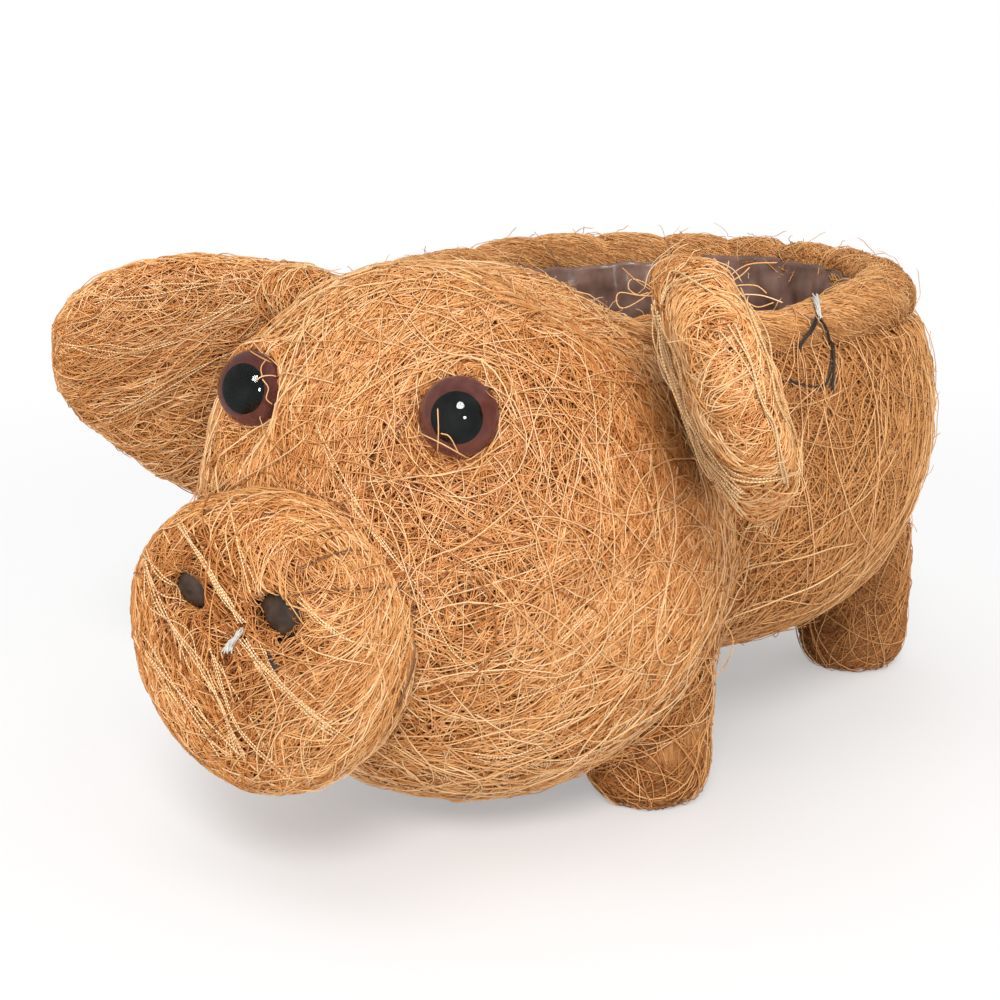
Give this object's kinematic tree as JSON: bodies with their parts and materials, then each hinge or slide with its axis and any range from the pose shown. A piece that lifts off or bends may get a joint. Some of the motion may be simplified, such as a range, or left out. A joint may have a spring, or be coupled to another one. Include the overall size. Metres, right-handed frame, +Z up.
{
  "type": "animal shaped planter",
  "caption": "Pig-shaped planter of coconut fibre bound over a wire frame, with plastic eyes, a bun snout, thick ears, stub legs and a film-lined tub in its back for soil or a pot.",
  "frame": {"origin": "bottom centre of the whole planter's bounding box, on the surface that the feet stand on", "axes": "+Z up, -Y the way the snout points, +X the pig's own left side"},
  "size_m": [0.2108, 0.2552, 0.1479],
  "materials": {
    "fibre_head": "golden brown coconut fibre, matted and crossed",
    "fibre_body": "brown coconut fibre, closely matted",
    "fibre_roll": "coconut fibre rolled into a thick rim",
    "dark_film": "thin crumpled dark brown plastic film",
    "eye_brown": "clear brown dome",
    "eye_black": "black",
    "steel_wire": "plain drawn wire",
    "dark_wire": "dark coated tie wire",
    "white_thread": "knotted white thread"
  },
  "bodies": {
    "root": {"ear_coir_left": "fibre_head", "ear_coir_right": "fibre_head", "eye_dome_left": "eye_brown", "eye_dome_right": "eye_brown", "eye_post_left": "eye_black", "eye_post_right": "eye_black", "eye_pupil_left": "eye_black", "eye_pupil_right": "eye_black", "frame_base_ring": "steel_wire", "frame_ear_left": "steel_wire", "frame_ear_right": "steel_wire", "frame_head_hoop": "steel_wire", "frame_leg_front_left": "steel_wire", "frame_leg_front_right": "steel_wire", "frame_leg_rear_left": "steel_wire", "frame_leg_rear_right": "steel_wire", "frame_neck_left": "steel_wire", "frame_neck_right": "steel_wire", "frame_rib_1": "steel_wire", "frame_rib_2": "steel_wire", "frame_rib_3": "steel_wire", "frame_rib_4": "steel_wire", "frame_rib_5": "steel_wire", "frame_rib_6": "steel_wire", "frame_rim_ring": "steel_wire", "frame_snout_ring": "steel_wire", "frame_top_ring": "steel_wire", "head_coir": "fibre_head", "leg_coir_front_left": "fibre_body", "leg_coir_front_right": "fibre_body", "leg_coir_rear_left": "fibre_body", "leg_coir_rear_right": "fibre_body", "liner": "dark_film", "liner_tie": "dark_wire", "nostril_tuft_left": "dark_film", "nostril_tuft_right": "dark_film", "rim_knot": "white_thread", "rim_roll": "fibre_roll", "rim_tie_1": "dark_wire", "rim_tie_2": "dark_wire", "rim_tie_3": "dark_wire", "rim_tie_4": "dark_wire", "rim_tie_5": "dark_wire", "rim_tie_6": "dark_wire", "rim_tie_7": "dark_wire", "rim_tie_8": "dark_wire", "snout_coir": "fibre_head", "snout_knot": "white_thread", "tub_coir": "fibre_body"}
  },
  "joints": []
}
